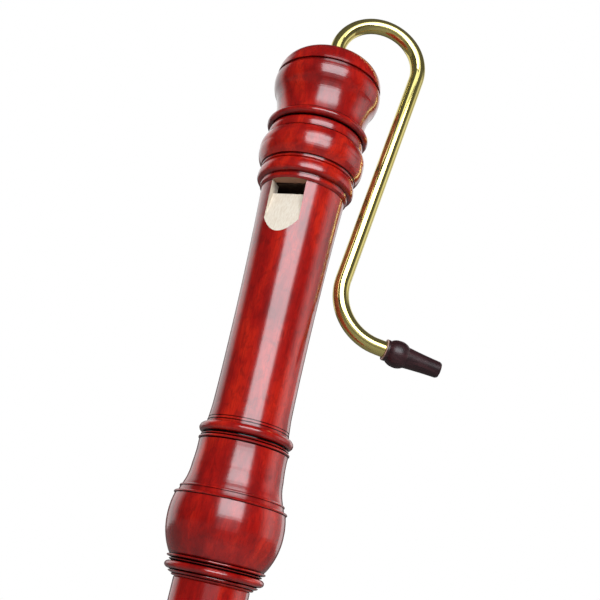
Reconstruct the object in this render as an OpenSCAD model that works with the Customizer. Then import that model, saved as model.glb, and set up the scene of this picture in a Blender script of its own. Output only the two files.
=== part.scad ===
/* [Joints of the body] */
// Length of the foot joint that shows, from its lower end to its rim
foot_l = 205; // [200:1:215]
// Length of the middle joint that shows between the foot and the head
middle_l = 451.4; // [440:0.1:480]
// Length of the head joint that shows below the cap
head_l = 222.8; // [210:0.1:240]
// Length of each tenon of the middle joint
tenon_l = 40; // [34:1:42]
// Radius of the wood of the middle joint's tenons
tenon_r = 17; // [16.6:0.1:17.2]
// Length of the head's tenon inside the cap
head_tenon_l = 48; // [44:1:50]
// Radius of the wood of the head's tenon
head_tenon_r = 22; // [21.6:0.1:22.2]
// Gap between a tenon's wood and its socket
socket_gap = 0.4; // [0.3:0.05:0.6]
// Gap between a tenon's cork and its socket
cork_gap = 0.05; // [0.02:0.01:0.1]
// Depth of the recess that holds a tenon's cork
cork_recess = 1; // [0.8:0.1:1.2]
// Bare wood at each end of a tenon's cork
cork_margin = 7; // [5:0.5:9]

/* [Turned outside] */
// Radius of the middle joint under the head
middle_top_r = 19.1; // [18.6:0.1:19.6]
// Radius of the middle joint over the foot
middle_low_r = 18.4; // [18.2:0.1:19]
// Radius of the rings at the head's lower end, without their rise
socket_ring_r = 23; // [22.6:0.1:23.6]
// Height of those rings
socket_rings_h = 10; // [9:0.1:12]
// Radius of the head's socket bulb
bulb_r = 29.5; // [28.5:0.1:31]
// Height of that bulb
bulb_h = 28.3; // [26:0.1:32]
// Height of the ringed shoulder from the bulb up to the neck
shoulder_h = 16.3; // [15:0.1:18]
// Radius of the neck over the bulb
neck_r = 23.2; // [23:0.1:24]
// Height of the neck
neck_h = 13; // [12:0.1:18]
// Height of the rings and cove between the neck and the barrel
cove_h = 11.7; // [11.5:0.1:13]
// Radius of the head's barrel over its lower rings
barrel_low_r = 20.7; // [20.4:0.1:21.5]
// Radius of the head's barrel at the window
barrel_top_r = 23.5; // [23:0.1:24]
// Height of the rings between the window and the cap
collar_h = 12.9; // [12.5:0.1:14]
// Radius of the cap's lower torus
torus_r = 29.8; // [29:0.1:31]
// Height of that torus over the cap's seam
torus_h = 19.4; // [18:0.1:21]
// Radius of the cap's band over the torus
band_r = 26.8; // [26.5:0.1:27.5]
// Height of that band
band_h = 6.8; // [6:0.1:8]
// Height of the ring under the cap's waist
waist_ring_h = 4.7; // [4:0.1:5.5]
// Radius of the cap's waist
waist_r = 25.9; // [25.6:0.1:26.6]
// Height of that waist
waist_h = 11.6; // [10:0.1:14]
// Radius of the cap's bell
bell_r = 30.8; // [30.2:0.1:32]
// Height of the bell up to its groove
bell_h = 18.2; // [17:0.1:22]
// Height of the dome that closes the cap
dome_h = 15.9; // [15:0.1:18]
// Height of the foot's base under its groove
foot_base_h = 6.2; // [5:0.1:8]
// Height of the foot's bell over its groove
foot_bell_h = 15; // [13:0.1:17]
// Height of the flare between the foot's bell and its lower rings
foot_flare_h = 26.6; // [24:0.1:28]
// Radius of the foot's barrel
foot_r = 20.4; // [20:0.1:21.5]
// Radius of the foot's socket bulb
foot_bulb_r = 27.6; // [26.5:0.1:29]
// Radius of the foot's widest turning, at its bell
foot_bell_r = 28.4; // [27:0.1:31]
// Radius of the flat end that the foot stands on
foot_rest_r = 26; // [24.5:0.1:27]
// Rise of a wide ring over the wood beside it
ring_rise = 2.2; // [1.8:0.1:2.6]
// Rise of a fine ring over the wood beside it
fillet_rise = 0.7; // [0.5:0.1:1]
// Depth of a turned groove
groove_depth = 1.5; // [1:0.1:1.7]

/* [Bore] */
// Radius of the bore at the block
bore_block_r = 15.4; // [15:0.1:15.8]
// Radius of the bore over the middle joint
bore_head_r = 14.6; // [14.2:0.1:15]
// Radius of the bore at the top of the middle joint
bore_top_r = 14; // [13.6:0.1:14.4]
// Radius of the bore at the bottom of the middle joint
bore_low_r = 11.2; // [10.6:0.1:12]
// Radius of the straight bore in the foot's end
foot_bore_r = 10.5; // [10:0.1:11]
// Length of that straight bore
foot_bore_l = 40; // [30:1:50]

/* [Window and windway] */
// Width of the window, the ramp and the windway
window_w = 20; // [17:0.5:21]
// Length of the window from the windway's end to the lip
window_l = 6.2; // [5.5:0.1:8]
// Distance of the window's top under the cap
window_down = 11.9; // [11.3:0.1:14]
// Distance of the lip from the axis
lip_y = 16; // [15.8:0.1:16.4]
// Rise of the ramp for each millimetre along it
ramp_slope = 0.25; // [0.23:0.01:0.3]
// Distance of the windway's roof from the axis
windway_roof = 17; // [16.8:0.1:17.2]
// Height of the windway between the block and the roof
windway_h = 1.4; // [1.1:0.1:1.5]

/* [Crook and mouthpiece] */
// Radius of the brass tube
tube_r = 4.5; // [4:0.1:4.8]
// Wall of the brass tube
tube_wall = 0.7; // [0.5:0.1:1]
// Length of tube seated in the cap
crook_seat_l = 17.5; // [15:0.5:17.5]
// Length of the straight tube that stands over the cap
crook_rise = 8.7; // [6:0.1:14]
// Radius of the upper bend, to the tube's centre
upper_bend_r = 25.2; // [24.5:0.1:28]
// Length of the straight limb
limb_l = 135.3; // [125:0.1:140]
// Gap between the limb's lower end and the head's barrel
limb_gap = 4.4; // [4.4:0.1:20]
// Radius of the lower bend, to the tube's centre
lower_bend_r = 28.7; // [24:0.1:32]
// Direction of the mouthpiece, turned from straight up
tip_turn = 96; // [85:1:105]
// Direction of the crook around the axis, from +X towards +Y
crook_turn = 32; // [0:1:90]
// Thickness of the cork on the tube's lower end
crook_cork_t = 1.05; // [0.9:0.05:1.2]
// Length of that cork
crook_cork_l = 15; // [12:0.5:15.5]
// Length of straight tube between the lower bend and the mouthpiece
tip_gap = 4.4; // [2:0.1:8]
// Length of the mouthpiece
mouthpiece_l = 32.5; // [31:0.5:40]
// Depth of the mouthpiece's socket for the tube
mouthpiece_socket = 14; // [12:0.5:16]
// Radius of the mouthpiece's bulge
mouthpiece_r = 7.5; // [7.2:0.1:8.2]
// Radius of the mouthpiece's tip
mouthpiece_tip_r = 4.6; // [4.2:0.1:5.2]
// Radius of the blowing hole through the mouthpiece
blow_hole_r = 2.6; // [2.2:0.1:3]
// Thickness of the cork on the tube's upper end
tip_cork_t = 0.5; // [0.4:0.05:0.6]

/* [Tone holes] */
// Distance of the thumb hole from the head's lower end
thumb_hole_down = 104.4; // [98:0.1:110]
// Distance of finger hole 1 from the head's lower end
hole1_down = 113.4; // [108:0.1:118]
// Distance of finger hole 2 from the head's lower end
hole2_down = 159.4; // [154:0.1:162]
// Distance of the left ring finger's keyed hole from the head's lower end
hole3_down = 242.4; // [240:0.1:246]
// Height of finger hole 4 over the foot joint
hole4_up = 135; // [129:1:141]
// Height of finger hole 5 over the foot joint
hole5_up = 87; // [85:1:92]
// Height of the right ring finger's keyed hole over the foot joint
hole6_up = 21; // [20:1:24]
// Radius of the thumb hole and finger holes
finger_hole_r = 4.2; // [3.8:0.1:4.8]
// Radius of the holes under the keys
key_hole_r = 5.6; // [5:0.1:6]

/* [Keys] */
// Distance from pivot to hole of the left ring-finger key
hole3_reach = 54; // [52:1:57]
// Distance from pivot to hole of the right ring-finger key
hole6_reach = 41; // [40:1:43]
// Distance from pivot to hole of the upper foot key
foot_sharp_reach = 42; // [40:1:43]
// Distance from pivot to hole of the lower foot key
foot_low_reach = 64; // [60:1:65]
// Distance of the two foot keys' pivots from the foot's rim
foot_pivot_down = 65; // [64:1:67]
// Turn of the upper foot key around the axis
foot_sharp_turn = -44; // [-50:1:-43]
// Turn of the lower foot key around the axis
foot_low_turn = -4; // [-5:1:0]
// Distance that a pad stands open over its hole
pad_open = 3; // [2.5:0.1:3.5]
// Gap between a closed pad and the rim of its hole
pad_gap = 0.1; // [0.05:0.05:0.2]
// Depth of the flat seat that is cut around a hole under a key
seat_depth = 2.6; // [2.3:0.1:2.8]
// Depth of the rim's face inside that seat under the wood
rim_drop = 1.4; // [1.4:0.1:1.6]
// Width of the rim around the hole
rim_w = 1.4; // [1:0.1:1.6]
// Thickness of a pad
pad_t = 2.6; // [2.2:0.1:3]
// Radius of a key's cup
cup_r = 8.6; // [8:0.1:9]
// Wall of a key's cup
cup_wall = 0.9; // [0.7:0.1:1.1]
// Height of a pivot's centre over the wood
pivot_h = 6.2; // [6:0.1:7]
// Radius of a pivot rod
pivot_r = 1.25; // [1.1:0.05:1.4]
// Running gap around a pivot rod
pivot_gap = 0.05; // [0.03:0.01:0.08]
// Width of a key's hinge barrel
hinge_w = 8; // [7:0.5:8.5]
// Wall of the hinge barrel around its bore
hinge_wall = 1.3; // [1.1:0.1:1.5]
// Gap between a hinge barrel and each ear
hinge_gap = 0.15; // [0.1:0.05:0.25]
// Thickness of a saddle's ears
ear_t = 1.8; // [1.5:0.1:2.2]
// Width of a saddle's ears along the body
ear_l = 6.4; // [6:0.2:8]
// Thickness of a saddle's base
saddle_t = 1.5; // [1.2:0.1:1.8]
// Length of a saddle's base along the body
saddle_l = 21; // [20:0.5:23]
// Depth of the inlet that a saddle lies in
saddle_inlet = 1.6; // [1.2:0.1:2]
// Gap around a saddle in that inlet
inlet_gap = 0.2; // [0.1:0.05:0.3]
// Width of a key's arm
arm_w = 5; // [4.4:0.1:5.6]
// Thickness of a key's arm
arm_t = 2; // [1.7:0.1:2.4]
// Width of a key's touch
touch_w = 13; // [12:0.5:13.5]
// Length of a key's touch
touch_l = 22; // [20:0.5:24]
// Thickness of a key's touch
touch_t = 2; // [1.7:0.1:2.4]
// Distance of a touch's middle from its pivot
touch_reach = 21; // [20:0.5:22]
// Thickness of a flat spring
spring_t = 0.35; // [0.3:0.05:0.5]
// Width of a flat spring
spring_w = 3; // [2.4:0.1:3.6]
// Gap between a spring's free end and the wood
spring_gap = 0.3; // [0.2:0.05:0.5]

/* [Fittings] */
// Height of the thumb rest's middle over the foot joint
thumb_rest_up = 113; // [105:1:125]
// Width of the thumb rest
thumb_rest_w = 15; // [12:0.5:18]
// Height of the thumb rest's plate
thumb_rest_l = 30; // [27:1:34]
// Reach of the thumb rest's hook from its plate
thumb_hook_reach = 17; // [14:0.5:20]
// Thickness of the thumb rest's sheet
thumb_rest_t = 2; // [1.6:0.1:2.6]
// Distance of the sling eye from the head's lower end
sling_down = 50.4; // [44:0.1:56]
// Radius of the hole through the sling eye
sling_hole_r = 5; // [4.5:0.1:5.5]
// Width of the ring around that hole
sling_ring_w = 2.6; // [2.2:0.1:3.2]
// Thickness of the sling eye
sling_ring_t = 3; // [2.4:0.1:3.6]
// Radius of the sling eye's round plate
sling_plate_r = 7; // [6.6:0.1:7.4]
// Thickness of the sling eye's round plate
sling_plate_t = 2; // [1.6:0.1:2.4]
// Radius of a screw's head
screw_head_r = 1.9; // [1.7:0.1:2.1]
// Radius of a screw's shank
screw_r = 1; // [0.9:0.05:1.2]
// Length of a screw under its head
screw_l = 4; // [3:0.5:4]

/* [Hidden] */
$fn = 96;

// Colours
STAIN = [0.62, 0.06, 0.04];
CEDAR = [0.72, 0.5, 0.34];
ROSEWOOD = [0.26, 0.12, 0.13];
BRASS = [0.8, 0.66, 0.28];
CORK = [0.76, 0.6, 0.42];
STEEL = [0.62, 0.64, 0.66];
LEATHER = [0.86, 0.78, 0.64];

// Heights where the joints of the body meet
head_z = foot_l + middle_l;
seam_z = head_z + head_l;
cap_top = seam_z + torus_h + band_h + waist_ring_h + waist_h + bell_h + dome_h;
seam_r = barrel_top_r + 1.9;
socket_r = tenon_r + socket_gap;
cap_bore_r = head_tenon_r + socket_gap;
head_top = seam_z + head_tenon_l;
window_top = seam_z - window_down;
lip_z = window_top - window_l;
end_gap = 0.5;
over = 1;

// Heights of the tone holes, the keys' pivots and the fittings
thumb_hole_z = head_z - thumb_hole_down;
hole1_z = head_z - hole1_down;
hole2_z = head_z - hole2_down;
hole3_z = head_z - hole3_down;
hole4_z = foot_l + hole4_up;
hole5_z = foot_l + hole5_up;
hole6_z = foot_l + hole6_up;
hole3_pivot_z = hole3_z + hole3_reach;
hole6_pivot_z = hole6_z + hole6_reach;
foot_pivot_z = foot_l - foot_pivot_down;
foot_sharp_z = foot_pivot_z - foot_sharp_reach;
foot_low_z = foot_pivot_z - foot_low_reach;
thumb_rest_z = foot_l + thumb_rest_up;
sling_z = head_z - sling_down;

// Points of a stretch of outline from a to b, without a, that bulges outward by sag; a negative sag is hollow
function bow(a, b, sag, n = 8) =
    let (d = b - a, side = [d[1], -d[0]] / norm(d))
    [for (i = [1 : n]) let (t = i / n) a + d * t + side * 4 * sag * t * (1 - t)];

// A round bead on the outline, h high, from radius r at height z to r2, standing rise over them
function ring(r, z, h, rise, r2, n = 8) =
    [for (i = [0 : n]) let (a = 180 * i / n, t = (1 - cos(a)) / 2) [r + (r2 - r) * t + rise * sin(a), z + h * t]];

// A square groove of depth d between heights z and z + h
function groove(r, z, h, d) = [[r, z], [r - d, z + h * 0.2], [r - d, z + h * 0.8], [r, z + h]];

// A solid of revolution from an outline that runs upward and one of its bore that runs upward
module turned(outside, inside) {
    rotate_extrude() polygon(concat(outside, [for (i = [len(inside) - 1 : -1 : 0]) inside[i]]));
}

// Head joint: outline of its rings, bulb, neck and barrel, from its lower end upward
function head_outline(z) =
    let (ring_z = z + socket_rings_h, bulb_z = ring_z + 0.64 * bulb_h, shoulder_z = ring_z + bulb_h,
         neck_z = shoulder_z + shoulder_h, cove_z = neck_z + neck_h, barrel_z = cove_z + cove_h,
         collar_z = z + head_l - collar_h, barrel_mid = barrel_z + 0.31 * (collar_z - barrel_z))
    concat(
        [[socket_r, z]],
        ring(middle_top_r + 0.4, z, 0.1 * socket_rings_h, fillet_rise, middle_top_r + 1.1, 6),
        ring(middle_top_r + 1.2, z + 0.11 * socket_rings_h, 0.12 * socket_rings_h,
             fillet_rise + 0.3, socket_ring_r - 0.9, 6),
        [[socket_ring_r - 1.4, z + 0.25 * socket_rings_h]],
        ring(socket_ring_r - 0.6, z + 0.28 * socket_rings_h, 0.38 * socket_rings_h,
             ring_rise + 0.2, socket_ring_r - 0.4, 12),
        [[socket_ring_r - 1, z + 0.67 * socket_rings_h]],
        ring(socket_ring_r - 0.4, z + 0.7 * socket_rings_h, 0.09 * socket_rings_h,
             fillet_rise, socket_ring_r - 0.4, 6),
        [[socket_ring_r - 1, z + 0.8 * socket_rings_h]],
        ring(socket_ring_r + 0.2, z + 0.83 * socket_rings_h, 0.13 * socket_rings_h,
             fillet_rise + 0.7, socket_ring_r + 0.6),
        bow([socket_ring_r + 1, ring_z], [bulb_r, bulb_z], 1.35, 14),
        bow([bulb_r, bulb_z], [bulb_r - 1.1, shoulder_z], 0.35, 8),
        ring(bulb_r - 1.9, shoulder_z + 0.1, 1.6, 1.6, bulb_r - 2.3),
        [[bulb_r - 2.6, shoulder_z + 2.6]],
        ring(bulb_r - 3, shoulder_z + 3.9, 1.2, fillet_rise, bulb_r - 3.6, 6),
        bow([bulb_r - 3.5, shoulder_z + 5.2], [neck_r + 0.5, neck_z], -0.6, 8),
        bow([neck_r + 0.5, neck_z], [neck_r, cove_z - 0.7], -0.25, 6),
        [[neck_r - 0.7, cove_z - 0.5]],
        ring(neck_r - 0.4, cove_z - 0.1, 1.5, fillet_rise + 0.4, neck_r - 0.7),
        [[neck_r - 1.4, cove_z + 1.6]],
        ring(neck_r - 1, cove_z + 1.7, 1, fillet_rise + 0.2, neck_r - 1.2, 6),
        [[neck_r - 2, cove_z + 2.8], [neck_r - 2, cove_z + 3.2]],
        ring(neck_r - 1.5, cove_z + 3.4, 5, ring_rise + 0.7, barrel_low_r + 0.9, 12),
        groove(barrel_low_r + 0.8, barrel_z - 2.2, 0.6, 0.5),
        groove(barrel_low_r + 0.6, barrel_z - 0.6, 0.5, 0.4),
        bow([barrel_low_r + 0.2, barrel_z], [barrel_low_r + 0.1, barrel_mid], -0.15, 6),
        bow([barrel_low_r + 0.1, barrel_mid], [barrel_top_r, collar_z], -0.5, 14),
        groove(barrel_top_r, collar_z, 0.9, 0.35),
        bow([barrel_top_r + 1, collar_z + 1.2], [barrel_top_r + 1.2, collar_z + 3.5], 0.1, 3),
        [[barrel_top_r + 0.7, collar_z + 3.9], [barrel_top_r + 0.8, collar_z + 4.5],
         [seam_r + 0.6, collar_z + 5.1]],
        bow([seam_r + 0.6, collar_z + 5.1], [seam_r + 1.9, collar_z + 7.3], 0.45, 6),
        bow([seam_r + 1.9, collar_z + 7.3], [seam_r + 0.8, z + head_l - 0.5], 0.35, 6),
        [[seam_r, z + head_l]]
    );

module head_joint() color(STAIN) difference() {
    turned(
        concat(head_outline(head_z), [
            [head_tenon_r, seam_z],
            [head_tenon_r, seam_z + cork_margin],
            [head_tenon_r - cork_recess, seam_z + cork_margin],
            [head_tenon_r - cork_recess, head_top - 2 * cork_margin],
            [head_tenon_r, head_top - 2 * cork_margin],
            [head_tenon_r, head_top - over],
            [head_tenon_r - over, head_top]
        ]),
        [
            [socket_r, head_z + tenon_l + end_gap],
            [bore_head_r, head_z + tenon_l + end_gap],
            [bore_block_r, lip_z - 12],
            [bore_block_r, head_top]
        ]
    );
    // Windway channel, broached through the tenon
    translate([-window_w / 2, -windway_roof, window_top])
        cube([window_w, windway_roof, head_top - window_top + over]);
    window_cut();
}

// Places a side outline of Y and Z as a solid w wide across the front
module across(w) translate([-w / 2, 0, 0]) rotate([90, 0, 90]) linear_extrude(w) children();

// The window and its ramp, cut from the front
module window_cut() across(window_w) {
    out_y = bulb_r + 10;
    polygon([
        [-bore_block_r / 2, lip_z],
        [-lip_y, lip_z],
        [-out_y, lip_z - (out_y - lip_y) / ramp_slope],
        [-out_y, window_top],
        [-bore_block_r / 2, window_top]
    ]);
}

// Block: closes the bore over the window, with the rib that floors the windway
module block() color(CEDAR) translate([0, 0, window_top]) {
    floor_y = windway_roof - windway_h;
    cylinder(r = bore_block_r, h = head_top - window_top);
    translate([-window_w / 2, -floor_y, 0]) cube([window_w, floor_y, head_top - window_top]);
}

// A sleeve of cork around a tenon or tube
module cork_sleeve(inner, outer, low, high) color(CORK)
    turned([[inner, low], [outer - 0.3, low], [outer, low + 0.3], [outer, high - 0.3], [outer - 0.3, high]],
           [[inner, high]]);

module head_tenon_cork()
    cork_sleeve(head_tenon_r - cork_recess, cap_bore_r - cork_gap,
                seam_z + cork_margin, head_top - 2 * cork_margin);

// Radius of the hole in the cap that seats the crook
crook_hole_r = tube_r + crook_cork_t + cork_gap;

// Cap: outline of its torus, band, waist ring, bell and dome, from the seam upward
function cap_outline(z) =
    let (torus_z = z + 0.57 * torus_h, band_z = z + torus_h, ring_z = band_z + band_h,
         waist_z = ring_z + waist_ring_h, waist_mid = waist_z + 0.4 * waist_h, flare_z = waist_z + waist_h,
         groove_z = flare_z + bell_h, dome_mid = groove_z + 0.55 * dome_h, top = groove_z + dome_h)
    concat(
        [[seam_r, z], [seam_r + 1, z + 0.4], [seam_r + 1.1, z + 1], [seam_r + 0.4, z + 1.4],
         [seam_r + 0.5, z + 1.9], [seam_r + 1.6, z + 2.2]],
        bow([seam_r + 1.6, z + 2.2], [torus_r, torus_z], 0.9, 8),
        bow([torus_r, torus_z], [band_r + 0.8, band_z - 0.3], 0.9, 10),
        [[band_r - 0.4, band_z], [band_r - 0.4, band_z + 0.3], [band_r, band_z + 0.6]],
        bow([band_r, band_z + 0.6], [band_r - 0.3, ring_z - 1], 0.5, 6),
        [[band_r - 1.5, ring_z - 0.8], [band_r - 1.5, ring_z - 0.2]],
        ring(band_r - 0.6, ring_z, waist_ring_h, ring_rise + 1, waist_r - 0.2, 12),
        bow([waist_r + 0.4, waist_z], [waist_r, waist_mid], -0.1, 4),
        bow([waist_r, waist_mid], [waist_r + 0.9, flare_z], -0.25, 6),
        bow([waist_r + 0.9, flare_z], [bell_r - 1.4, flare_z + 0.36 * bell_h], -0.3, 6),
        bow([bell_r - 1.4, flare_z + 0.36 * bell_h], [bell_r, flare_z + 0.85 * bell_h], 0.7, 8),
        [[bell_r - 0.4, groove_z - 2.5], [bell_r - groove_depth, groove_z - 2.2],
         [bell_r - groove_depth, groove_z - 0.4], [bell_r - 0.4, groove_z]],
        bow([bell_r - 0.4, groove_z], [bell_r - 3.4, dome_mid], 0.75, 8),
        bow([bell_r - 3.4, dome_mid], [0.65 * bell_r, top - 2], 0.7, 8),
        bow([0.65 * bell_r, top - 2], [crook_hole_r + 2.4, top], 0.5, 6)
    );

module cap() color(STAIN) {
    cavity_top = head_top + 10;
    turned(
        concat([[cap_bore_r, seam_z]], cap_outline(seam_z),
               [[crook_hole_r + 0.6, cap_top], [crook_hole_r, cap_top - 0.6]]),
        [[cap_bore_r, cavity_top - 6], [cap_bore_r - 8, cavity_top], [crook_hole_r, cavity_top]]
    );
}

// The crook's path lies in the plane of local X and Z; these are its corners there
crook_low = cap_top - crook_seat_l;
crook_start = cap_top + crook_rise;
// Direction of the straight limb, turned from straight up: its lower end clears the head by the gap
limb_lean = acos((barrel_top_r + limb_gap + tube_r - upper_bend_r) / norm([upper_bend_r, limb_l]))
    - atan2(limb_l, upper_bend_r);
limb_turn = 180 + limb_lean;
limb_x = upper_bend_r * (1 - cos(limb_turn));
limb_z = crook_start + upper_bend_r * sin(limb_turn);
elbow_x = limb_x + limb_l * sin(limb_turn);
elbow_z = limb_z + limb_l * cos(limb_turn);
tip_x = elbow_x + lower_bend_r * (cos(tip_turn) - cos(limb_turn));
tip_z = elbow_z + lower_bend_r * (sin(limb_turn) - sin(tip_turn));

// Places children on a straight run of the crook that starts at x, z and heads turn from straight up
module along(x, z, turn) rotate([0, 0, crook_turn]) translate([x, 0, z]) rotate([0, turn, 0]) children();

// Turn by which a bend laps into the straight tube at each end, and how much thinner it is drawn
bend_lap = 0.5;
bend_draw = 0.02;

// A bend of the crook around a centre in its plane, from angle start over sweep
module bend(x, z, bend_r, start, sweep, r)
    rotate([0, 0, crook_turn]) translate([x, 0, z]) rotate([90, 0, 0]) rotate([0, 0, start - bend_lap])
        rotate_extrude(angle = sweep + 2 * bend_lap) translate([bend_r, 0]) circle(r = r - bend_draw);

// A rod along the crook's path: all of its runs and bends at one radius, longer by extra at both ends
module crook_rod(r, extra) {
    along(0, crook_low - extra, 0) cylinder(r = r, h = crook_start - crook_low + extra);
    bend(upper_bend_r, crook_start, upper_bend_r, 180 - limb_turn, limb_turn, r);
    along(limb_x, limb_z, limb_turn) cylinder(r = r, h = limb_l);
    bend(elbow_x - lower_bend_r * cos(limb_turn), elbow_z + lower_bend_r * sin(limb_turn),
         lower_bend_r, -limb_turn, limb_turn - tip_turn, r);
    along(tip_x, tip_z, tip_turn) cylinder(r = r, h = tip_gap + mouthpiece_socket - end_gap + extra);
}

module crook() color(BRASS) difference() {
    crook_rod(tube_r, 0);
    crook_rod(tube_r - tube_wall, over);
}

module crook_cork()
    cork_sleeve(tube_r, tube_r + crook_cork_t, crook_low + end_gap, crook_low + end_gap + crook_cork_l);

module crook_tip_cork() along(tip_x, tip_z, tip_turn)
    cork_sleeve(tube_r, tube_r + tip_cork_t, tip_gap + over, tip_gap + mouthpiece_socket - over);

// Mouthpiece: a flange, a bulge and a cone, turned around the end of the tube
module mouthpiece() color(ROSEWOOD) along(tip_x, tip_z, tip_turn) translate([0, 0, tip_gap]) {
    socket = tube_r + tip_cork_t + cork_gap;
    flange_r = socket + 0.9;
    cone_r = mouthpiece_r - 1.6;
    turned(
        concat([[socket, 0], [flange_r, 0.2], [flange_r, 1.8], [flange_r - 0.2, 2.4]],
               bow([flange_r - 0.2, 2.4], [mouthpiece_r, 6.6], 0.4, 6),
               bow([mouthpiece_r, 6.6], [cone_r, 12.8], 0.7, 8),
               bow([cone_r, 12.8], [mouthpiece_tip_r, mouthpiece_l - 1], -0.15, 4),
               [[mouthpiece_tip_r - 0.5, mouthpiece_l]]),
        [[socket, 0], [socket, mouthpiece_socket], [blow_hole_r, mouthpiece_socket],
         [blow_hole_r, mouthpiece_l]]
    );
}

// Radius of the middle joint's barrel and of the foot's barrel at height z
function middle_r(z) = middle_low_r + (middle_top_r - middle_low_r) * (z - foot_l) / middle_l;
function foot_barrel_r(z) = foot_r + 0.004 * (z - foot_pivot_z);
foot_pivot_surface = foot_barrel_r(foot_pivot_z);

// Outline of a tenon's wood from its end at z to its shoulder; way is 1 for one that points down
function tenon_outline(z, way) = [
    [tenon_r - over, z],
    [tenon_r, z + way * over],
    [tenon_r, z + way * cork_margin],
    [tenon_r - cork_recess, z + way * cork_margin],
    [tenon_r - cork_recess, z + way * (tenon_l - cork_margin)],
    [tenon_r, z + way * (tenon_l - cork_margin)],
    [tenon_r, z + way * tenon_l]
];
function reversed(list) = [for (i = [len(list) - 1 : -1 : 0]) list[i]];

// Places children at height z on the front, turned around the axis, with local +Z pointing outward
module facing(z, turn = 0) rotate([0, 0, turn]) translate([0, 0, z]) rotate([90, 0, 0]) children();

// Inner width between a saddle's ears, width of its base, and places of its two screws along the body
ear_gap = hinge_w + 2 * hinge_gap;
saddle_w = ear_gap + 2 * ear_t;
saddle_screws = [-saddle_l / 2 + 3, saddle_l / 2 - 3];

// The wood cut away for one key: its saddle's inlet and screws, the pad's seat around a rim, and the hole
module key_cut(pivot_z, hole_z, turn, pivot_surface, hole_surface) {
    flat = pivot_surface - saddle_inlet;
    facing(pivot_z, turn) {
        translate([-saddle_w / 2 - inlet_gap, -saddle_l / 2 - inlet_gap, flat])
            cube([saddle_w + 2 * inlet_gap, saddle_l + 2 * inlet_gap, pivot_surface]);
        for (y = saddle_screws)
            translate([0, y, flat + saddle_t - screw_l]) cylinder(r = screw_r, h = screw_l);
    }
    facing(hole_z, turn) {
        translate([0, 0, hole_surface - seat_depth]) difference() {
            cylinder(r = cup_r + 0.8, h = 2 * seat_depth);
            cylinder(r = key_hole_r + rim_w, h = seat_depth - rim_drop);
        }
        cylinder(r = key_hole_r, h = hole_surface + over);
    }
}

// Flats for the thumb rest and the sling eye, on the back of the middle joint
rest_flat = middle_r(thumb_rest_z) - 1;
sling_flat = middle_r(sling_z) - 1.5;
rest_screws = [-thumb_rest_l / 2 + 4, thumb_rest_l / 2 - 15];
sling_screws = [-sling_plate_r + 2.6, sling_plate_r - 2.6];

// Middle joint: barrel between two tenons, with the tone holes and the flats for keys and fittings
module middle_joint() color(STAIN) difference() {
    turned(
        concat(tenon_outline(foot_l - tenon_l, 1),
               [[middle_low_r - 0.4, foot_l], [middle_low_r, foot_l + 0.6],
                [middle_top_r, head_z - 0.6], [middle_top_r - 0.4, head_z]],
               reversed(tenon_outline(head_z + tenon_l, -1))),
        [[bore_low_r, foot_l - tenon_l], [bore_top_r, head_z + tenon_l]]
    );
    for (z = [hole1_z, hole2_z, hole4_z, hole5_z])
        facing(z) cylinder(r = finger_hole_r, h = middle_top_r + over);
    facing(thumb_hole_z, 180) cylinder(r = finger_hole_r, h = middle_top_r + over);
    key_cut(hole3_pivot_z, hole3_z, 0, middle_r(hole3_pivot_z), middle_r(hole3_z));
    key_cut(hole6_pivot_z, hole6_z, 0, middle_r(hole6_pivot_z), middle_r(hole6_z));
    facing(thumb_rest_z, 180) {
        translate([-middle_top_r, -thumb_rest_l / 2, rest_flat])
            cube([2 * middle_top_r, thumb_rest_l, middle_top_r]);
        for (y = rest_screws)
            translate([0, y, rest_flat + thumb_rest_t - screw_l]) cylinder(r = screw_r, h = screw_l);
    }
    facing(sling_z, 180) {
        translate([0, 0, sling_flat]) cylinder(r = sling_plate_r, h = middle_top_r);
        for (x = sling_screws)
            translate([x, 0, sling_flat + sling_plate_t - screw_l]) cylinder(r = screw_r, h = screw_l);
    }
}

module upper_tenon_cork()
    cork_sleeve(tenon_r - cork_recess, socket_r - cork_gap,
                head_z + cork_margin, head_z + tenon_l - cork_margin);

module lower_tenon_cork()
    cork_sleeve(tenon_r - cork_recess, socket_r - cork_gap,
                foot_l - tenon_l + cork_margin, foot_l - cork_margin);

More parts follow.
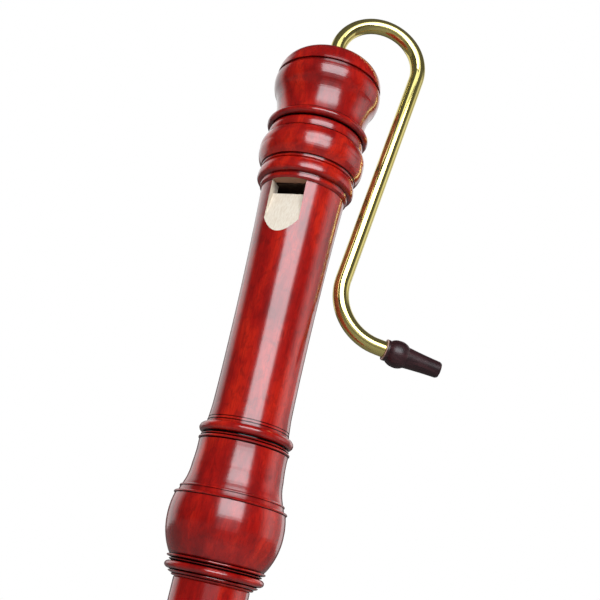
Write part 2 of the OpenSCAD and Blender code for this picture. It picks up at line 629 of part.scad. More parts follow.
// Foot joint: outline of its flat end, bell, barrel and socket bulb, from the end upward
function foot_outline(top) =
    let (bell_z = foot_base_h + 1.2, flare_z = bell_z + foot_bell_h, rings_z = flare_z + foot_flare_h,
         barrel_z = rings_z + 7, socket_z = top - 52.8)
    concat(
        [[foot_rest_r - 0.8, 0]],
        bow([foot_rest_r - 0.8, 0], [foot_rest_r, 1.2], 0.2, 3),
        bow([foot_rest_r, 1.2], [foot_rest_r - 0.4, foot_base_h - 0.2], 0.5, 6),
        groove(foot_rest_r - 0.8, foot_base_h, 1.2, groove_depth),
        bow([foot_rest_r - 0.8, bell_z], [foot_bell_r, bell_z + 0.57 * foot_bell_h], 1, 8),
        bow([foot_bell_r, bell_z + 0.57 * foot_bell_h], [foot_bell_r - 2, flare_z - 0.4], 0.5, 6),
        [[foot_bell_r - 3, flare_z]],
        bow([foot_bell_r - 3, flare_z], [foot_r + 0.8, rings_z], -2.2, 12),
        ring(foot_r + 0.3, rings_z + 0.2, 1.4, fillet_rise, foot_r + 0.2),
        [[foot_r - 0.2, rings_z + 1.9]],
        ring(foot_r + 0.1, rings_z + 2.2, 3.2, ring_rise, foot_r),
        [[foot_barrel_r(barrel_z), barrel_z], [foot_barrel_r(socket_z), socket_z]],
        ring(foot_r + 0.3, top - 52.4, 3.4, ring_rise + 0.6, foot_r + 0.8),
        ring(foot_r + 1, top - 48.4, 1.4, fillet_rise + 0.4, foot_r + 1.4),
        [[foot_r + 1.6, top - 46.8]],
        bow([foot_r + 1.6, top - 46.8], [foot_bulb_r - 2.6, top - 35], -0.6, 8),
        ring(foot_bulb_r - 1.8, top - 34.4, 1.5, 1.3, foot_bulb_r - 1.4),
        bow([foot_bulb_r - 1.2, top - 32.7], [foot_bulb_r, top - 24], 0.35, 6),
        bow([foot_bulb_r, top - 24], [middle_low_r + 4.2, top - 8.4], 1.3, 12),
        ring(middle_low_r + 3.8, top - 8, 1.4, fillet_rise + 0.3, middle_low_r + 3.6),
        ring(middle_low_r + 3, top - 6.2, 3.6, ring_rise, middle_low_r + 2.8),
        bow([middle_low_r + 2.6, top - 2.4], [middle_low_r + 1.4, top - 0.3], 0.25, 4),
        [[middle_low_r + 0.8, top]]
    );

module foot_joint() color(STAIN) difference() {
    turned(
        foot_outline(foot_l),
        [[foot_bore_r, 0], [foot_bore_r, foot_bore_l],
         [bore_low_r, foot_l - tenon_l - end_gap], [socket_r, foot_l - tenon_l - end_gap], [socket_r, foot_l]]
    );
    key_cut(foot_pivot_z, foot_sharp_z, foot_sharp_turn, foot_pivot_surface, foot_barrel_r(foot_sharp_z));
    key_cut(foot_pivot_z, foot_low_z, foot_low_turn, foot_pivot_surface, foot_barrel_r(foot_low_z));
}

// A countersunk slotted screw whose head is flush at z = 0
module screw() color(BRASS) difference() {
    turned([[0, -screw_l], [screw_r, -screw_l], [screw_r, -1.2],
            [screw_head_r, -0.2], [screw_head_r, 0], [0, 0]], []);
    translate([-screw_head_r - over, -0.25, -0.5]) cube([2 * (screw_head_r + over), 0.5, over]);
}

// The hole for a countersunk screw's head and shank
module screw_hole() {
    translate([0, 0, -screw_l]) cylinder(r = screw_r, h = screw_l);
    translate([0, 0, -1.2]) cylinder(r1 = screw_r, r2 = screw_head_r, h = 1);
    translate([0, 0, -0.2]) cylinder(r = screw_head_r, h = over);
}

// Thumb rest: a plate on the back whose upper end curls out into a hook
module thumb_rest() color(BRASS) facing(thumb_rest_z, 180) difference() {
    curl_r = 9;
    curl_y = thumb_rest_l / 2 - curl_r - thumb_rest_t;
    curl_z = rest_flat + thumb_rest_t + curl_r;
    across(thumb_rest_w) {
        translate([-thumb_rest_l / 2, rest_flat]) square([curl_y + thumb_rest_l / 2, thumb_rest_t]);
        intersection() {
            translate([curl_y, curl_z]) difference() {
                circle(r = curl_r + thumb_rest_t);
                circle(r = curl_r);
            }
            translate([curl_y, rest_flat]) square(curl_r + thumb_rest_t);
        }
        translate([curl_y + curl_r, curl_z]) square([thumb_rest_t, thumb_hook_reach - curl_r - thumb_rest_t]);
    }
    for (y = rest_screws) translate([0, y, rest_flat + thumb_rest_t]) screw_hole();
}

module thumb_rest_screws() facing(thumb_rest_z, 180)
    for (y = rest_screws) translate([0, y, rest_flat + thumb_rest_t]) screw();

// Sling eye: a round plate with an upright ring for the sling's hook
module sling_eye() color(BRASS) facing(sling_z, 180) {
    ring_r = sling_hole_r + sling_ring_w;
    difference() {
        union() {
            translate([0, 0, sling_flat]) cylinder(r = sling_plate_r, h = sling_plate_t);
            translate([-sling_ring_t / 2, 0, sling_flat + sling_plate_t + ring_r - 0.8]) rotate([0, 90, 0])
                turned([[0, 0], [ring_r - 0.6, 0], [ring_r, 0.6], [ring_r, sling_ring_t - 0.6],
                        [ring_r - 0.6, sling_ring_t], [0, sling_ring_t]], []);
        }
        translate([-sling_plate_r, 0, sling_flat + sling_plate_t + ring_r - 0.8]) rotate([0, 90, 0])
            cylinder(r = sling_hole_r, h = 2 * sling_plate_r);
        for (x = sling_screws) translate([x, 0, sling_flat + sling_plate_t]) screw_hole();
    }
}

module sling_eye_screws() facing(sling_z, 180)
    for (x = sling_screws) translate([x, 0, sling_flat + sling_plate_t]) screw();

// Radius of a key's hinge barrel
hinge_r = pivot_r + pivot_gap + hinge_wall;

// Saddle: a base let into the wood, with two ears that hold the pivot rod
module saddle(pivot_z, turn, surface) color(BRASS) facing(pivot_z, turn) {
    flat = surface - saddle_inlet;
    pivot_y = surface + pivot_h;
    difference() {
        union() {
            translate([-saddle_w / 2, -saddle_l / 2, flat]) cube([saddle_w, saddle_l, saddle_t]);
            for (x = [-saddle_w / 2, ear_gap / 2]) {
                translate([x, -ear_l / 2, flat]) cube([ear_t, ear_l, pivot_y - flat]);
                translate([x, 0, pivot_y]) rotate([0, 90, 0]) cylinder(r = ear_l / 2, h = ear_t);
            }
        }
        translate([-hinge_w, 0, pivot_y]) rotate([0, 90, 0]) cylinder(r = pivot_r, h = 2 * hinge_w);
        for (y = saddle_screws) translate([0, y, flat + saddle_t]) screw_hole();
    }
}

module saddle_screw_pair(pivot_z, turn, surface) facing(pivot_z, turn)
    for (y = saddle_screws) translate([0, y, surface - saddle_inlet + saddle_t]) screw();

// Pivot rod: a plain steel rod through ears and hinge barrel, with a slotted head
module pivot(pivot_z, turn, surface) color(STEEL)
    facing(pivot_z, turn) translate([-saddle_w / 2, 0, surface + pivot_h]) rotate([0, 90, 0]) {
        head_t = 1;
        cylinder(r = pivot_r, h = saddle_w);
        translate([0, 0, saddle_w]) difference() {
            cylinder(r = pivot_r + 0.8, h = head_t);
            translate([-2 * pivot_r, -0.25, head_t - 0.4]) cube([4 * pivot_r, 0.5, over]);
        }
    }

// Heights of a closed pad and its cup over the axis, for a hole where the wood's radius is surface
function pad_low(surface) = surface - rim_drop + pad_gap;
function cup_top(surface) = pad_low(surface) + pad_t + 1.2;
// Slope of the closed arm from the pivot down to the cup, and the angle that the open key lifts it by
function arm_slope(reach, pivot_surface, hole_surface) =
    atan((pivot_surface + pivot_h - cup_top(hole_surface) - arm_t / 2 + 0.6) / reach);
function open_angle(reach) = asin(pad_open / reach);

// Places children with the pivot's axis as local X, lifted to the open rest of the key
module opened(pivot_z, turn, pivot_surface, reach)
    facing(pivot_z, turn) translate([0, 0, pivot_surface + pivot_h]) rotate([-open_angle(reach), 0, 0])
        translate([0, 0, -pivot_surface - pivot_h]) children();

// Lever: hinge barrel, arm, touch and cup in one piece
module lever(pivot_z, turn, pivot_surface, hole_surface, reach) color(BRASS) {
    slope = arm_slope(reach, pivot_surface, hole_surface);
    low = pad_low(hole_surface);
    opened(pivot_z, turn, pivot_surface, reach) {
        translate([0, -reach, 0]) turned(
            concat([[cup_r - cup_wall, low + 0.9], [cup_r, low + 1.1], [cup_r, cup_top(hole_surface) - 1]],
                   bow([cup_r, cup_top(hole_surface) - 1], [cup_r - 2, cup_top(hole_surface) + 0.2], 0.25, 4),
                   [[0, cup_top(hole_surface) + 0.8]]),
            [[cup_r - cup_wall, low + 0.9], [cup_r - cup_wall, low + pad_t], [0, low + pad_t]]
        );
        translate([0, 0, pivot_surface + pivot_h]) difference() {
            union() {
                translate([-hinge_w / 2, 0, 0]) rotate([0, 90, 0]) cylinder(r = hinge_r, h = hinge_w);
                rotate([slope, 0, 0]) {
                    translate([-arm_w / 2, -reach, -arm_t / 2]) cube([arm_w, reach, arm_t]);
                    touch();
                }
            }
            translate([-hinge_w, 0, 0]) rotate([0, 90, 0]) cylinder(r = pivot_r + pivot_gap, h = 2 * hinge_w);
        }
    }
}

// Touch: a plate with round ends and a domed top, on the arm
module touch() intersection() {
    end_r = touch_w / 2;
    dome_r = 20;
    translate([0, -touch_reach, arm_t / 2 - 0.4]) linear_extrude(touch_t + 0.4) {
        square([touch_w, touch_l - touch_w], center = true);
        for (way = [-1, 1]) translate([0, way * (touch_l / 2 - end_r)]) circle(r = end_r);
    }
    translate([0, 0, arm_t / 2 + touch_t - dome_r]) rotate([90, 0, 0])
        cylinder(r = dome_r, h = 3 * touch_reach);
}

module pad(pivot_z, turn, pivot_surface, hole_surface, reach) color(LEATHER)
    opened(pivot_z, turn, pivot_surface, reach)
        translate([0, -reach, pad_low(hole_surface)]) cylinder(r = cup_r - cup_wall, h = pad_t);

// Flat spring: riveted under the arm, its free end just over the wood
module spring(pivot_z, turn, pivot_surface, hole_surface, reach) color(STEEL)
    opened(pivot_z, turn, pivot_surface, reach) {
        slope = arm_slope(reach, pivot_surface, hole_surface);
        root_y = 10;
        knee_y = 16;
        tip_y = 28;
        tip_h = -pivot_h + spring_gap - tip_y * sin(open_angle(reach) - slope);
        translate([0, 0, pivot_surface + pivot_h]) rotate([slope, 0, 0]) {
            across(spring_w) polygon([
                [-root_y, -arm_t / 2], [-root_y, -arm_t / 2 - spring_t], [-knee_y, -arm_t / 2 - spring_t],
                [-tip_y, tip_h], [-tip_y, tip_h + spring_t], [-knee_y, -arm_t / 2]
            ]);
            translate([0, -(root_y + knee_y) / 2, -arm_t / 2 - spring_t - 0.6]) cylinder(r = 1.1, h = 0.6);
        }
    }

// The four keys: each has its pivot's height, its turn, the wood's radius at pivot and hole, and its reach
module hole3_saddle() saddle(hole3_pivot_z, 0, middle_r(hole3_pivot_z));
module hole3_saddle_screws() saddle_screw_pair(hole3_pivot_z, 0, middle_r(hole3_pivot_z));
module hole3_pivot() pivot(hole3_pivot_z, 0, middle_r(hole3_pivot_z));
module hole3_lever() lever(hole3_pivot_z, 0, middle_r(hole3_pivot_z), middle_r(hole3_z), hole3_reach);
module hole3_pad() pad(hole3_pivot_z, 0, middle_r(hole3_pivot_z), middle_r(hole3_z), hole3_reach);
module hole3_spring() spring(hole3_pivot_z, 0, middle_r(hole3_pivot_z), middle_r(hole3_z), hole3_reach);

module hole6_saddle() saddle(hole6_pivot_z, 0, middle_r(hole6_pivot_z));
module hole6_saddle_screws() saddle_screw_pair(hole6_pivot_z, 0, middle_r(hole6_pivot_z));
module hole6_pivot() pivot(hole6_pivot_z, 0, middle_r(hole6_pivot_z));
module hole6_lever() lever(hole6_pivot_z, 0, middle_r(hole6_pivot_z), middle_r(hole6_z), hole6_reach);
module hole6_pad() pad(hole6_pivot_z, 0, middle_r(hole6_pivot_z), middle_r(hole6_z), hole6_reach);
module hole6_spring() spring(hole6_pivot_z, 0, middle_r(hole6_pivot_z), middle_r(hole6_z), hole6_reach);

module foot_sharp_saddle() saddle(foot_pivot_z, foot_sharp_turn, foot_pivot_surface);
module foot_sharp_saddle_screws() saddle_screw_pair(foot_pivot_z, foot_sharp_turn, foot_pivot_surface);
module foot_sharp_pivot() pivot(foot_pivot_z, foot_sharp_turn, foot_pivot_surface);
module foot_sharp_lever()
    lever(foot_pivot_z, foot_sharp_turn, foot_pivot_surface, foot_barrel_r(foot_sharp_z), foot_sharp_reach);
module foot_sharp_pad()
    pad(foot_pivot_z, foot_sharp_turn, foot_pivot_surface, foot_barrel_r(foot_sharp_z), foot_sharp_reach);
module foot_sharp_spring()
    spring(foot_pivot_z, foot_sharp_turn, foot_pivot_surface, foot_barrel_r(foot_sharp_z), foot_sharp_reach);

module foot_low_saddle() saddle(foot_pivot_z, foot_low_turn, foot_pivot_surface);
module foot_low_saddle_screws() saddle_screw_pair(foot_pivot_z, foot_low_turn, foot_pivot_surface);
module foot_low_pivot() pivot(foot_pivot_z, foot_low_turn, foot_pivot_surface);
module foot_low_lever()
    lever(foot_pivot_z, foot_low_turn, foot_pivot_surface, foot_barrel_r(foot_low_z), foot_low_reach);
module foot_low_pad()
    pad(foot_pivot_z, foot_low_turn, foot_pivot_surface, foot_barrel_r(foot_low_z), foot_low_reach);
module foot_low_spring()
    spring(foot_pivot_z, foot_low_turn, foot_pivot_surface, foot_barrel_r(foot_low_z), foot_low_reach);

head_joint();
block();
head_tenon_cork();
cap();
crook();
crook_cork();
crook_tip_cork();
mouthpiece();
middle_joint();
upper_tenon_cork();
lower_tenon_cork();
foot_joint();
thumb_rest();
thumb_rest_screws();
sling_eye();
sling_eye_screws();
hole3_saddle();
hole3_saddle_screws();
hole3_pivot();
hole3_lever();
hole3_pad();
hole3_spring();
hole6_saddle();
hole6_saddle_screws();
hole6_pivot();
hole6_lever();
hole6_pad();
hole6_spring();
foot_sharp_saddle();
foot_sharp_saddle_screws();
foot_sharp_pivot();
foot_sharp_lever();
foot_sharp_pad();
foot_sharp_spring();
foot_low_saddle();
foot_low_saddle_screws();
foot_low_pivot();
foot_low_lever();
foot_low_pad();
foot_low_spring();
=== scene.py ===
"""A bass recorder in a plain bright studio: turned, red-stained wood, a bent brass crook and brass keys."""
import math

import bpy
from mathutils import Matrix, Vector

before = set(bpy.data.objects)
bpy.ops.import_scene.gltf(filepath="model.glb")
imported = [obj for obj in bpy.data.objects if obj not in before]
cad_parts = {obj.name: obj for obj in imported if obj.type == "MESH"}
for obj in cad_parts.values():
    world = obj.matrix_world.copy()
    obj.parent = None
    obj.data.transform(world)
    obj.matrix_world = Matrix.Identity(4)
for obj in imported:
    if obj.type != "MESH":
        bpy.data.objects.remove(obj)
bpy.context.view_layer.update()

MM = 0.001

# The turned parts, in millimetres; heights count up the axis from the foot's end
FOOT_SOCKET_Z = 164.0
FOOT_TOP = 205.0
HEAD_Z = 656.4
LIP_Z = 861.1
WINDOW_TOP = 867.3
SEAM_Z = 879.2
LIP_DEPTH = 16.0
RAMP_SLOPE = 0.25
HALF_WINDOW = 10.0
WINDOW_BACK = 8.0

# The outside lies beyond these radii, so what is nearer to the axis is bore or socket
FOOT_BORE_R = 11.4
MIDDLE_BORE_R = 14.2
HEAD_BORE_R = 15.45
SOCKET_R = 17.45
CAP_SOCKET_R = 22.45

# How far a mask reaches to either side of the face or shoulder that it picks
NEAR_FACE = 0.06
NEAR_SHOULDER = 0.02

# The mouthpiece points along the crook's tip; its flange starts at this place along that line
CROOK_TURN = math.radians(32)
TIP_LEAN = math.radians(96)
TIP_AXIS = (math.sin(TIP_LEAN) * math.cos(CROOK_TURN), math.sin(TIP_LEAN) * math.sin(CROOK_TURN),
            math.cos(TIP_LEAN))
MOUTHPIECE_START = -21.1

# Colours
STAIN_DARK = (0.26, 0.003, 0.0025)
STAIN = (0.42, 0.006, 0.003)
STAIN_LIGHT = (0.60, 0.016, 0.004)
STAIN_MOTTLE = (0.15, 0.002, 0.0025)
STAIN_FIBRE = (0.13, 0.002, 0.0025)
# Painted shade: a near-black colour for the creases between the rings
CREASE_SHADE = (0.008, 0.001, 0.0015)
CREAM_DARK = (0.74, 0.64, 0.51)
CREAM = (0.84, 0.76, 0.64)
END_GRAIN = (0.50, 0.27, 0.18)
# The bore's colour: dark with oil, and darker still as painted shade
OILED_AND_SHADED_BORE = (0.075, 0.034, 0.02)
CEDAR_DARK = (0.055, 0.026, 0.015)
CEDAR = (0.11, 0.058, 0.034)
ROSEWOOD_DARK = (0.016, 0.004, 0.006)
ROSEWOOD = (0.062, 0.019, 0.022)
WORN_EDGE = (0.46, 0.27, 0.21)
BRASS = (0.88, 0.75, 0.27)
OLD_BRASS = (0.82, 0.68, 0.21)
STEEL = (0.62, 0.63, 0.64)
OLD_STEEL = (0.48, 0.48, 0.50)
CORK_DARK = (0.36, 0.21, 0.10)
CORK = (0.56, 0.38, 0.22)
CORK_FLECK = (0.13, 0.06, 0.03)
KID_DARK = (0.60, 0.49, 0.34)
KID = (0.78, 0.68, 0.52)
COOL_WHITE = (0.91, 0.95, 1.0)

KEYS = ("hole3", "hole6", "foot_sharp", "foot_low")


# Node trees

class Tree:
    """A node tree, with short calls that add a node and give back its output."""

    def __init__(self, owner, output):
        owner.use_nodes = True
        self.tree = owner.node_tree
        self.tree.nodes.clear()
        self.out = self.tree.nodes.new("ShaderNodeOutput" + output)

    def node(self, kind, inputs=None, **settings):
        n = self.tree.nodes.new("ShaderNode" + kind)
        for key, value in settings.items():
            setattr(n, key, value)
        for key, value in (inputs or {}).items():
            self.feed(n, key, value)
        return n

    def feed(self, n, key, value):
        """Link an output, or set a plain value; a colour gets its fourth number here."""
        if hasattr(value, "is_output"):
            self.tree.links.new(value, n.inputs[key])
        elif n.inputs[key].type == "RGBA":
            n.inputs[key].default_value = (*value, 1)
        else:
            n.inputs[key].default_value = value

    def surface(self, shader):
        self.tree.links.new(shader.outputs[0], self.out.inputs["Surface"])

    def math(self, operation, *values):
        return self.node("Math", dict(enumerate(values)), operation=operation).outputs[0]

    def product(self, first, *others):
        for value in others:
            first = self.math("MULTIPLY", first, value)
        return first

    def largest(self, first, *others):
        for value in others:
            first = self.math("MAXIMUM", first, value)
        return first

    def soft_step(self, value, low, high):
        """0 at low and 1 at high, whichever is the larger, with a straight slope between."""
        inputs = {"Value": value, "From Min": low, "From Max": high}
        return self.node("MapRange", inputs, clamp=True).outputs["Result"]

    def between(self, value, low, high, edge=0.02):
        """1 from low to high, and 0 outside."""
        return self.product(self.soft_step(value, low - edge, low), self.soft_step(value, high + edge, high))

    def dot(self, vector, axis):
        return self.node("VectorMath", {0: vector, 1: axis}, operation="DOT_PRODUCT").outputs["Value"]

    def split(self, vector):
        return self.node("SeparateXYZ", {0: vector}).outputs

    def position(self):
        """The point's place in the object's own coordinates, in millimetres."""
        coords = self.node("TexCoord").outputs["Object"]
        return self.node("VectorMath", {0: coords, "Scale": 1 / MM}, operation="SCALE").outputs[0]

    def normal(self):
        return self.split(self.node("NewGeometry").outputs["Normal"])

    def stretched(self, vector, scale):
        return self.node("VectorMath", {0: vector, 1: scale}, operation="MULTIPLY").outputs[0]

    def noise(self, vector, scale, detail=3.0, roughness=0.55, distortion=0.0):
        inputs = {"Vector": vector, "Scale": scale, "Detail": detail,
                  "Roughness": roughness, "Distortion": distortion}
        return self.node("TexNoise", inputs).outputs["Fac"]

    def cells(self, vector, scale):
        return self.node("TexVoronoi", {"Vector": vector, "Scale": scale}).outputs["Distance"]

    def ramp(self, fac, *stops):
        """A colour from stops of a place and a colour."""
        n = self.node("ValToRGB", {"Fac": fac})
        while len(n.color_ramp.elements) < len(stops):
            n.color_ramp.elements.new(0.5)
        for element, (place, colour) in zip(n.color_ramp.elements, stops):
            element.position = place
            element.color = (*colour, 1)
        return n.outputs["Color"]

    def mix(self, fac, a, b):
        """Colour a where fac is 0, and b where it is 1."""
        return self.node("Mix", {0: fac, 6: a, 7: b}, data_type="RGBA").outputs[2]

    def mix_value(self, fac, a, b):
        """Number a where fac is 0, and b where it is 1."""
        return self.node("Mix", {0: fac, 2: a, 3: b}, data_type="FLOAT").outputs[0]

    def bump(self, height, distance, strength):
        inputs = {"Height": height, "Distance": distance, "Strength": strength}
        return self.node("Bump", inputs).outputs["Normal"]


class Material(Tree):
    """A material that ends in one principled shader."""

    def __init__(self, name):
        self.material = bpy.data.materials.new(name)
        super().__init__(self.material, "Material")

    def finish(self, **sockets):
        inputs = {key.replace("_", " "): value for key, value in sockets.items()}
        self.surface(self.node("BsdfPrincipled", inputs))
        return self.material


# Materials

def stain(t, p, unshaded_wood, mottle, fibre):
    """The red of the stained wood: broad blotches, dark specks and fibres, and painted shade, nearly black,
    in the creases.
    """
    blotch = t.noise(t.stretched(p, (1.0, 1.0, 0.35)), scale=0.07, roughness=0.6, distortion=0.4)
    red = t.ramp(blotch, (0.34, STAIN_DARK), (0.5, STAIN), (0.66, STAIN_LIGHT))
    red = t.mix(t.product(t.soft_step(mottle, 0.45, 0.68), 0.5), red, STAIN_MOTTLE)
    red = t.mix(t.product(t.soft_step(fibre, 0.5, 0.7), 0.42), red, STAIN_FIBRE)
    # Painted shade: near black in the creases and hollows that ambient occlusion finds
    return t.mix(unshaded_wood, CREASE_SHADE, red)


def bare_wood(t, p, radius):
    """Unstained maple: pale along the grain, darker on its ends, and in the bore dark with oil and with
    painted shade.
    """
    grain = t.noise(t.stretched(p, (1.0, 1.0, 0.05)), scale=1.3, roughness=0.5)
    cream = t.ramp(grain, (0.35, CREAM_DARK), (0.65, CREAM))
    level = t.math("GREATER_THAN", t.math("ABSOLUTE", t.normal()["Z"]), 0.9)
    cream = t.mix(level, cream, END_GRAIN)
    # In the bore the wood is dark with oil, and darker still as painted shade
    return t.mix(t.math("LESS_THAN", radius, HEAD_BORE_R), cream, OILED_AND_SHADED_BORE)


def stained_wood(name, bare):
    """Red-stained, lacquered maple; bare(t, x, y, z, radius) gives the mask of its unstained places."""
    t = Material(name)
    p = t.position()
    x, y, z = (t.split(p)[axis] for axis in "XYZ")
    flat = t.node("CombineXYZ", {"X": x, "Y": y}).outputs[0]
    radius = t.node("VectorMath", {0: flat}, operation="LENGTH").outputs["Value"]
    mask = bare(t, x, y, z, radius)

    mottle = t.noise(t.stretched(p, (1.0, 1.0, 0.6)), scale=0.3, roughness=0.65, distortion=0.8)
    fibre = t.noise(t.stretched(p, (1.0, 1.0, 0.05)), scale=1.7, roughness=0.6)
    # Ambient occlusion picks the creases: the stain paints shade there, and the coat is thinner
    hollow = t.node("AmbientOcclusion", {"Distance": 2.6 * MM}, samples=8, only_local=True).outputs["AO"]
    unshaded_wood = t.soft_step(hollow, 0.42, 0.86)
    height = t.math("MULTIPLY_ADD", fibre, 0.5, mottle)
    return t.finish(
        Base_Color=t.mix(mask, stain(t, p, unshaded_wood, mottle, fibre), bare_wood(t, p, radius)),
        Roughness=t.mix_value(mask, t.math("MULTIPLY_ADD", mottle, 0.12, 0.14), 0.7),
        Normal=t.bump(height, 0.02 * MM, 0.3),
        Coat_Weight=t.product(t.math("SUBTRACT", 1.0, mask), t.mix_value(unshaded_wood, 0.25, 1.0)),
        Coat_Roughness=0.17,
        Coat_IOR=1.6,
        Specular_IOR_Level=0.25,
    )


def bare_head(t, x, y, z, radius):
    """Bore, socket and tenon, and the window with its side walls, its top face and its ramp."""
    normal = t.normal()
    across = t.math("ABSOLUTE", x)
    ramp_y = t.math("MULTIPLY_ADD", t.math("SUBTRACT", LIP_Z, z), -RAMP_SLOPE, -LIP_DEPTH)
    off_ramp = t.math("ABSOLUTE", t.math("SUBTRACT", y, ramp_y))
    ramp = t.product(t.math("LESS_THAN", off_ramp, NEAR_FACE),
                     t.math("LESS_THAN", across, HALF_WINDOW + NEAR_FACE))
    walls = t.product(t.math("GREATER_THAN", t.math("ABSOLUTE", normal["X"]), 0.96),
                      t.between(across, HALF_WINDOW - NEAR_FACE, HALF_WINDOW + NEAR_FACE))
    top = t.product(t.math("GREATER_THAN", t.math("ABSOLUTE", normal["Z"]), 0.9),
                    t.between(z, WINDOW_TOP - NEAR_FACE, WINDOW_TOP + NEAR_FACE))
    window = t.product(t.largest(ramp, walls, top), t.math("LESS_THAN", y, -WINDOW_BACK))
    inside = t.math("LESS_THAN", radius, SOCKET_R)
    tenon = t.math("GREATER_THAN", z, SEAM_Z + NEAR_SHOULDER)
    return t.largest(window, inside, tenon)


def bare_cap(t, x, y, z, radius):
    """Socket and crook hole, but not the dome, which faces up."""
    facing_up = t.math("GREATER_THAN", t.normal()["Z"], 0.3)
    return t.product(t.math("LESS_THAN", radius, CAP_SOCKET_R), t.math("SUBTRACT", 1.0, facing_up))


def bare_middle(t, x, y, z, radius):
    """Bore and both tenons."""
    body = t.between(z, FOOT_TOP + NEAR_SHOULDER, HEAD_Z - NEAR_SHOULDER)
    return t.largest(t.math("LESS_THAN", radius, MIDDLE_BORE_R), t.math("SUBTRACT", 1.0, body))


def bare_foot(t, x, y, z, radius):
    """Bore and socket."""
    socket = t.product(t.math("LESS_THAN", radius, SOCKET_R), t.math("GREATER_THAN", z, FOOT_SOCKET_Z))
    return t.largest(t.math("LESS_THAN", radius, FOOT_BORE_R), socket)


def plain_wood(name, dark, light, grain_axis, roughness, coat=0.0, worn_at=None):
    """Unstained wood with grain along an axis and dark pores; before worn_at, its edge is worn pale."""
    t = Material(name)
    p = t.position()
    along = t.dot(p, grain_axis)
    back = t.node("VectorMath", {0: grain_axis, "Scale": t.product(along, -0.92)}, operation="SCALE")
    squeezed = t.node("VectorMath", {0: p, 1: back.outputs[0]}, operation="ADD").outputs[0]
    bands = t.noise(squeezed, scale=0.45, detail=4.0, roughness=0.6, distortion=0.8)
    pores = t.noise(squeezed, scale=2.6, detail=2.0, roughness=0.5)
    pore_colour = tuple(c * 0.45 for c in dark)
    colour = t.ramp(bands, (0.33, dark), (0.66, light))
    colour = t.mix(t.product(t.soft_step(pores, 0.58, 0.7), 0.55), colour, pore_colour)
    if worn_at is not None:
        colour = t.mix(t.soft_step(along, worn_at + 0.7, worn_at + 0.3), colour, WORN_EDGE)
    return t.finish(Base_Color=colour, Roughness=roughness, Coat_Weight=coat, Coat_Roughness=0.25,
                    Normal=t.bump(pores, 0.03 * MM, 0.5))


def metal(name, colour, dull, roughness, drawn=(1, 1, 1), metallic=1.0):
    """Polished metal with faint drawing marks, smears and a slightly dulled tone in places."""
    t = Material(name)
    p = t.position()
    smear = t.noise(p, scale=0.12, roughness=0.6)
    marks = t.noise(t.stretched(p, drawn), scale=3.0, detail=2.0, roughness=0.5)
    rough = t.math("MULTIPLY_ADD", t.soft_step(smear, 0.35, 0.8), roughness * 0.8, roughness)
    return t.finish(Base_Color=t.mix(t.soft_step(smear, 0.4, 0.75), colour, dull), Metallic=metallic,
                    Roughness=rough, Normal=t.bump(marks, 0.002 * MM, 0.3))


def cork(name):
    """Bare cork: fine cells with dark flecks."""
    t = Material(name)
    p = t.position()
    cells = t.cells(p, 1.1)
    flecks = t.soft_step(t.noise(p, scale=0.9, detail=2.0), 0.6, 0.72)
    colour = t.mix(t.product(flecks, 0.8), t.ramp(cells, (0.1, CORK_DARK), (0.6, CORK)), CORK_FLECK)
    return t.finish(Base_Color=colour, Roughness=0.85, Normal=t.bump(cells, 0.06 * MM, 0.6))


def leather(name):
    """Matt kid leather with a fine grain."""
    t = Material(name)
    p = t.position()
    colour = t.ramp(t.noise(p, scale=0.2), (0.3, KID_DARK), (0.7, KID))
    return t.finish(Base_Color=colour, Roughness=0.7, Normal=t.bump(t.cells(p, 2.2), 0.05 * MM, 0.5))


def dress(material, *names):
    for name in names:
        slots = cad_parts[name].data.materials
        slots.clear()
        slots.append(material)


def key_parts(*endings):
    return [key + ending for key in KEYS for ending in endings]


dress(stained_wood("stained_head", bare_head), "head_joint")
dress(stained_wood("stained_cap", bare_cap), "cap")
dress(stained_wood("stained_middle", bare_middle), "middle_joint")
dress(stained_wood("stained_foot", bare_foot), "foot_joint")
dress(plain_wood("block_cedar", CEDAR_DARK, CEDAR, (0, 0, 1), 0.75), "block")
dress(plain_wood("rosewood", ROSEWOOD_DARK, ROSEWOOD, TIP_AXIS, 0.38, coat=0.12, worn_at=MOUTHPIECE_START),
      "mouthpiece")
dress(metal("polished_brass", BRASS, OLD_BRASS, 0.05, drawn=(1, 1, 0.1), metallic=0.92), "crook")
dress(metal("worked_brass", BRASS, OLD_BRASS, 0.14, metallic=0.8),
      "thumb_rest", "thumb_rest_screws", "sling_eye", "sling_eye_screws",
      *key_parts("_saddle", "_saddle_screws", "_lever"))
dress(metal("bright_steel", STEEL, OLD_STEEL, 0.2), *key_parts("_pivot", "_spring"))
dress(cork("cork"), "head_tenon_cork", "upper_tenon_cork", "lower_tenon_cork", "crook_cork", "crook_tip_cork")
dress(leather("kid_leather"), *key_parts("_pad"))


# Camera, at the photograph's viewing angle

CAMERA_AT = Vector((0.20186, -0.42898, 0.65007))
CAMERA_RIGHT = Vector((0.9203, 0.32994, 0.2102))
CAMERA_DOWN = Vector((0.07793, 0.37192, -0.92499))
CAMERA_AHEAD = Vector((-0.38337, 0.86765, 0.31657))
CAMERA_LENS = 55.74


def place(name, data):
    """A new object in the scene."""
    obj = bpy.data.objects.new(name, data)
    bpy.context.scene.collection.objects.link(obj)
    return obj


camera_data = bpy.data.cameras.new("camera")
camera_data.lens = CAMERA_LENS
camera_data.sensor_width = 36
camera_data.clip_start = 0.01
camera = place("camera", camera_data)
facing = Matrix((CAMERA_RIGHT, -CAMERA_DOWN, -CAMERA_AHEAD)).transposed()
camera.matrix_world = Matrix.Translation(CAMERA_AT) @ facing.to_4x4()
bpy.context.scene.camera = camera
bpy.context.scene.view_settings.view_transform = "Standard"


# Lamps; turns and heights are in degrees as seen from AIM, where turn 0 faces the camera

AIM = Vector((0, 0, 0.80))
VIEW_TURN = math.atan2(CAMERA_AT.x, -CAMERA_AT.y)


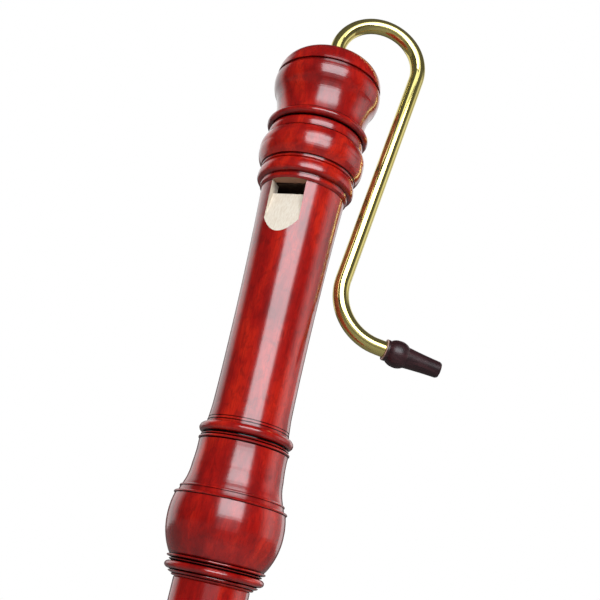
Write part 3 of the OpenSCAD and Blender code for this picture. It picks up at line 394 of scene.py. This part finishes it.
def softbox(name, turn, height, distance, width, tall, radiance):
    """A rectangular lamp that looks at AIM; radiance is how bright its face is."""
    data = bpy.data.lights.new(name, "AREA")
    data.shape = "RECTANGLE"
    data.size = width
    data.size_y = tall
    data.energy = radiance * math.pi * width * tall
    data.color = COOL_WHITE
    obj = place(name, data)
    a = VIEW_TURN + math.radians(turn)
    e = math.radians(height)
    away = Vector((math.sin(a) * math.cos(e), -math.cos(a) * math.cos(e), math.sin(e)))
    obj.location = AIM + distance * away
    obj.rotation_euler = (-away).to_track_quat("-Z", "Y").to_euler()
    return obj


softbox("key_softbox", turn=4, height=20, distance=1.3, width=1.12, tall=0.82, radiance=5.5)
softbox("key_top", turn=4, height=43, distance=1.4, width=1.0, tall=0.2, radiance=1.5)
softbox("key_low", turn=4, height=-8, distance=1.3, width=1.0, tall=0.3, radiance=0.4)
# The world draws this one's reflection, with soft edges
side = softbox("side_softbox", turn=88, height=6, distance=1.3, width=0.75, tall=1.5, radiance=1.1)
side.visible_glossy = False


# Floor

FLOOR_HALF = 9.0
FLOOR_DROP = 0.0002
FLOOR_SEEN = (0.74, 0.74, 0.74)
FLOOR_UNSEEN = (0.22, 0.22, 0.22)


def floor_material():
    """Looks nearly white, but throws little light back up under the rings and the bulb."""
    t = Material("floor")
    seen = t.node("LightPath").outputs["Is Camera Ray"]
    grit = t.noise(t.node("TexCoord").outputs["Object"], scale=40.0)
    return t.finish(Base_Color=t.mix(seen, FLOOR_UNSEEN, FLOOR_SEEN), Roughness=0.7,
                    Normal=t.bump(grit, 0.3 * MM, 0.1),
                    Emission_Color=(1.0, 1.0, 1.0), Emission_Strength=t.product(seen, 0.2))


corners = [(x * FLOOR_HALF, y * FLOOR_HALF, 0) for x, y in ((-1, -1), (1, -1), (1, 1), (-1, 1))]
floor_mesh = bpy.data.meshes.new("floor")
floor_mesh.from_pydata(corners, [], [(0, 1, 2, 3)])
floor_mesh.materials.append(floor_material())
floor = place("floor", floor_mesh)
floor.location.z = -FLOOR_DROP


# World: white for the camera, a soft sky for matt surfaces, and a studio for gloss

TO_CAMERA = (math.sin(VIEW_TURN), -math.cos(VIEW_TURN), 0.0)
TO_RIGHT = (math.cos(VIEW_TURN), math.sin(VIEW_TURN), 0.0)
BACKDROP_LEVEL = 0.9
ROOM_LEVEL = 0.025


def studio_gloss(w, bearing, near, up):
    """What gloss sees: a white backdrop behind the object and a softbox at its right side."""
    # A dark flag at the backdrop's middle draws the object's edges
    flag = w.soft_step(w.product(near, -1), 0.86, 0.91)
    white = w.math("SUBTRACT", BACKDROP_LEVEL, flag)
    sides = w.largest(w.soft_step(bearing, 122, 134), w.soft_step(w.product(bearing, -1), 106, 120))
    backdrop = w.product(sides, w.soft_step(up, -0.95, -0.45), w.soft_step(up, 0.74, 0.6))
    fall = w.mix_value(w.soft_step(bearing, 112, 96), 0.45, 1.0)
    panel = w.product(w.soft_step(bearing, 66, 88), fall, w.soft_step(up, -0.7, -0.3),
                      w.soft_step(up, 0.62, 0.4))
    return w.largest(w.product(backdrop, white), w.product(panel, white))


def sky(w, near, up):
    """Soft light on matt surfaces: brighter above and behind the object."""
    above = w.mix_value(w.soft_step(up, -0.3, 0.5), 0.25, 0.5)
    return w.math("ADD", above, w.product(w.soft_step(near, -0.2, -0.9), 0.6))


world = bpy.data.worlds.new("studio")
bpy.context.scene.world = world
w = Tree(world, "World")
direction = w.node("TexCoord").outputs["Generated"]
near = w.dot(direction, TO_CAMERA)
up = w.split(direction)["Z"]
# Degrees around the object, where 0 is towards the camera and more is to the right
bearing = w.math("DEGREES", w.math("ARCTAN2", w.dot(direction, TO_RIGHT), near))
path = w.node("LightPath").outputs
gloss = w.product(path["Is Glossy Ray"], studio_gloss(w, bearing, near, up))
white = w.largest(path["Is Camera Ray"], path["Is Transmission Ray"], gloss)
room = w.mix_value(path["Is Glossy Ray"], sky(w, near, up), ROOM_LEVEL)
w.surface(w.node("Background", {"Color": (1, 1, 1), "Strength": w.mix_value(white, room, 1.0)}))
